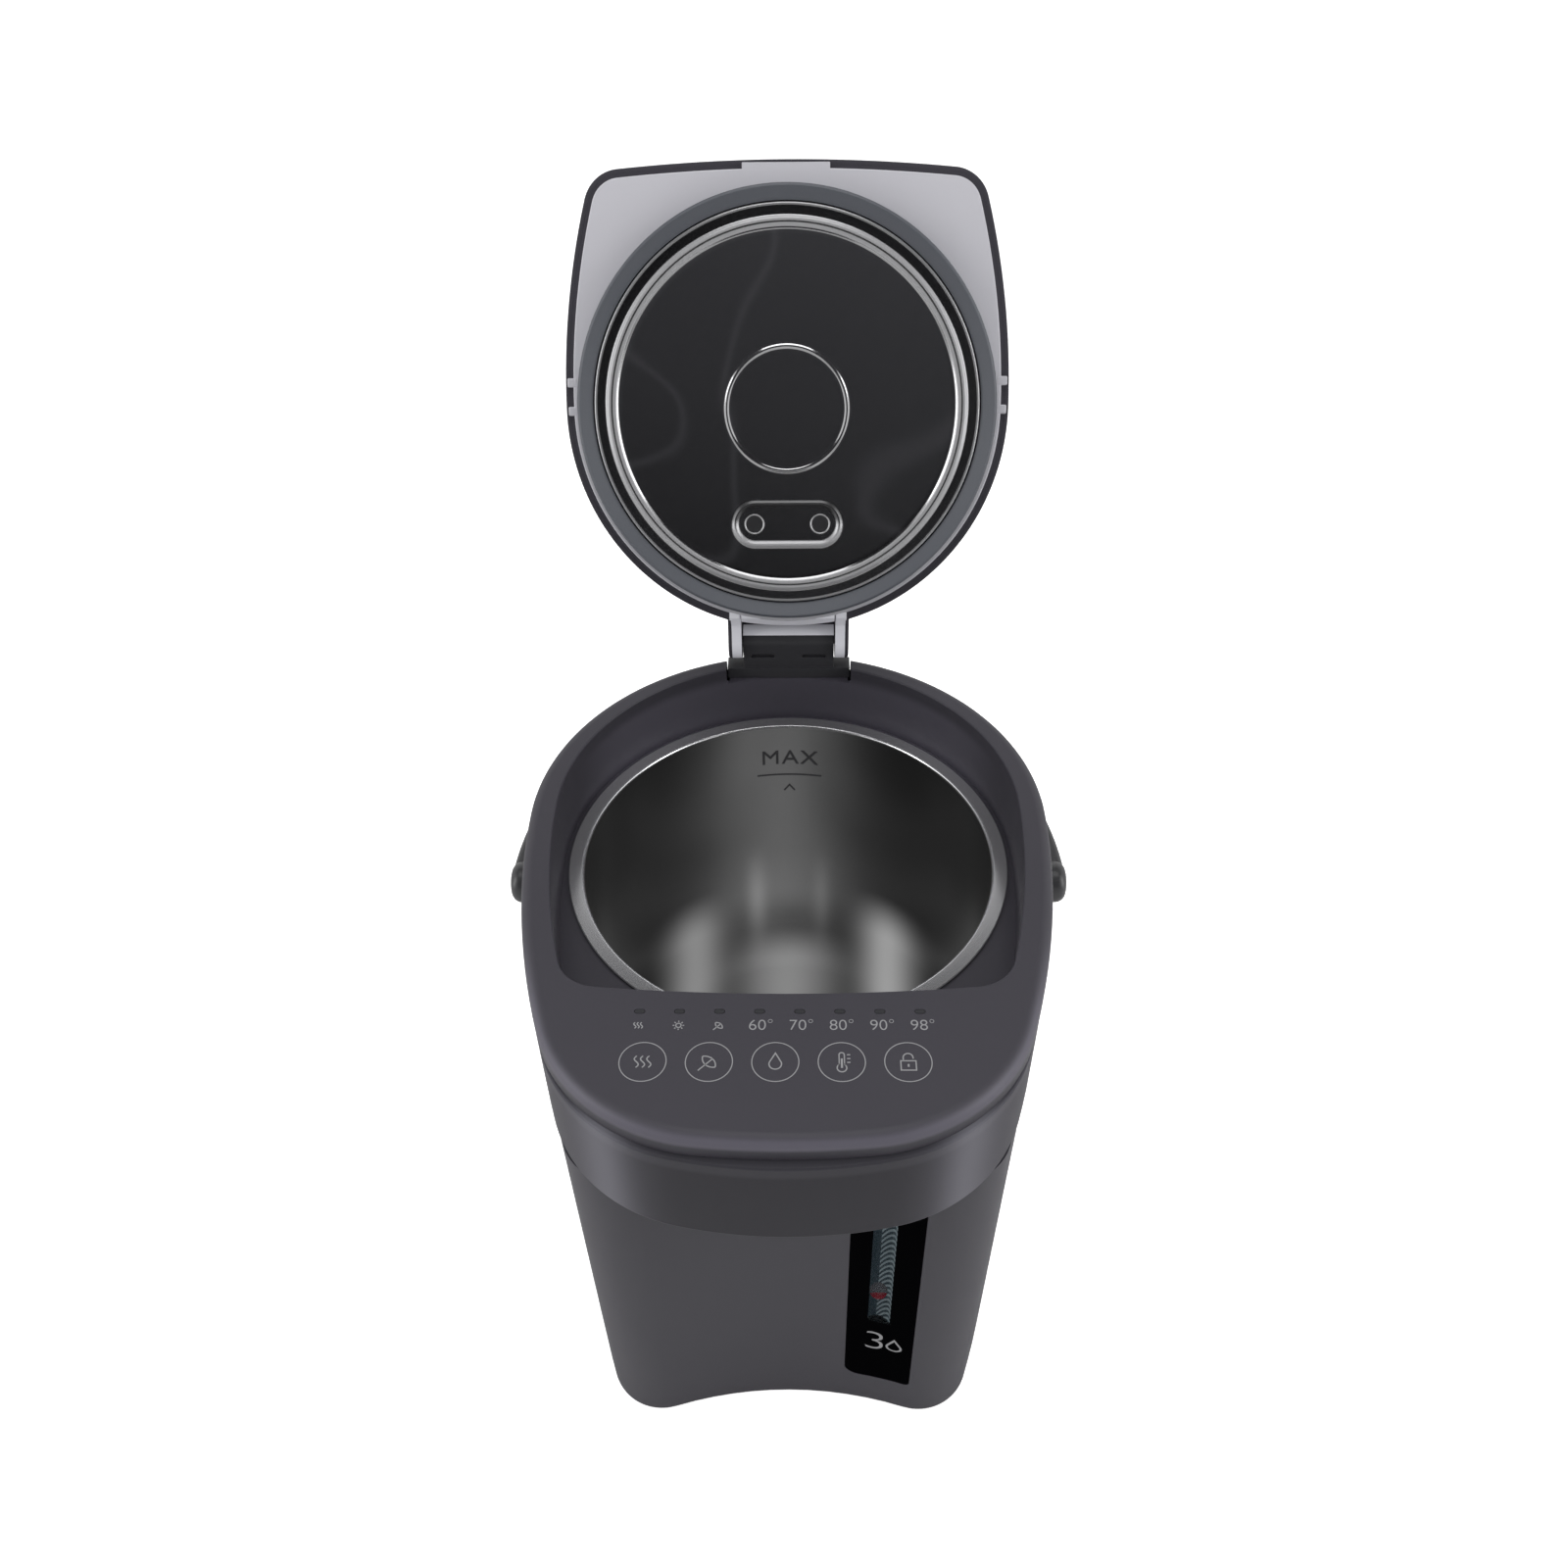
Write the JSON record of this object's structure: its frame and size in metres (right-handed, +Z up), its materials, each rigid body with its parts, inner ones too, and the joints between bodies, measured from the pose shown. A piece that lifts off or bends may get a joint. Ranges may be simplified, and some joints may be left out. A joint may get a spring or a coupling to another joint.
{
  "type": "electric thermo pot",
  "caption": "Electric thermo pot drawn with its lid open: tapered body with a hollow front under a spout head, steel inner pot, touch deck, level gauge, hinged lid and carrying bail.",
  "frame": {"origin": "on the plane the pot stands on, under the axis of the round inner pot", "axes": "+Z up, -Y to the front with the spout, +X to the right side with the gauge, seen from the front; the lid leans back towards +Y"},
  "size_m": [0.2422, 0.3536, 0.4558],
  "materials": {
    "casing": "matte slate grey, fine grain",
    "handle_grey": "satin slate grey",
    "dark_parts": "matte near black",
    "light_parts": "satin cool light grey",
    "seal_rubber": "satin blue grey",
    "pad_rubber": "matte black",
    "pot_steel": "satin",
    "plate_steel": "polished",
    "plain_steel": "plain",
    "cast_aluminium": "as cast",
    "band_brass": "dull",
    "ceramic_white": "gloss",
    "hose_silicone": "translucent",
    "pump_white": "gloss",
    "pump_black": "gloss",
    "gauge_black": "high gloss",
    "clear_plastic": "clear",
    "float_red": "gloss",
    "light_pipe": "smoked",
    "board_green": "solder mask",
    "cable_white": "matte",
    "foam": "open foam"
  },
  "bodies": {
    "body": {"outer_shell": "casing", "top_cover": "casing", "spout_head": "casing", "spout_nozzle": "dark_parts", "nozzle_seal": "seal_rubber", "bottom_cover": "dark_parts", "base_pads": "pad_rubber", "base_screws": "plain_steel", "inner_pot": "pot_steel", "pot_gasket": "seal_rubber", "heat_shield": "plain_steel", "heating_plate": "cast_aluminium", "warming_band": "band_brass", "thermostat": "dark_parts", "thermal_fuse": "ceramic_white", "temperature_sensor": "dark_parts", "outlet_hose": "hose_silicone", "pump_housing": "pump_white", "pump_motor": "plain_steel", "riser_hose": "hose_silicone", "gauge_tube": "clear_plastic", "gauge_panel": "gauge_black", "gauge_window": "clear_plastic", "spout_hose": "hose_silicone", "control_board": "board_green", "touch_springs": "plain_steel", "indicator_lights": "light_pipe", "power_board": "board_green", "board_components": "pump_black", "power_inlet": "dark_parts", "inlet_pins": "band_brass", "wiring_harness": "cable_white", "hinge_block": "dark_parts", "hinge_pin": "plain_steel", "hinge_screws": "plain_steel", "pivot_bosses": "casing", "pivot_nuts": "plain_steel"},
    "lid": {"lid_cover": "casing", "lid_panel": "light_parts", "lid_seal": "seal_rubber", "lid_plate": "plate_steel", "vent_bushes": "dark_parts", "steam_duct": "pump_white", "steam_cap": "dark_parts", "lid_insulation": "foam", "lid_screws": "plain_steel"},
    "latch": {"lid_latch": "light_parts", "latch_spring": "plain_steel"},
    "handle": {"bail_handle": "handle_grey"},
    "float": {"level_float": "float_red"},
    "impeller": {"pump_impeller": "pump_black"}
  },
  "joints": [
    {"name": "lid_hinge", "type": "hinge", "parent": "body", "child": "lid", "pos_m": [0, 0.1045, 0.262], "axis": [1, 0, 0], "range_deg": [0, 116.4]},
    {"name": "latch_slide", "type": "slide", "parent": "lid", "child": "latch", "axis": [0, 0.4446, 0.8957], "range_m": [0, 0.0024]},
    {"name": "handle_swing", "type": "hinge", "parent": "body", "child": "handle", "pos_m": [0, -0.003, 0.209], "axis": [1, 0, 0], "range_deg": [0, 28]},
    {"name": "float_rise", "type": "slide", "parent": "body", "child": "float", "axis": [0, 0, 1], "range_m": [0, 0.092]},
    {"name": "impeller_spin", "type": "hinge", "parent": "body", "child": "impeller", "pos_m": [0, -0.045, 0.03], "axis": [0, 0, 1], "continuous": true}
  ]
}
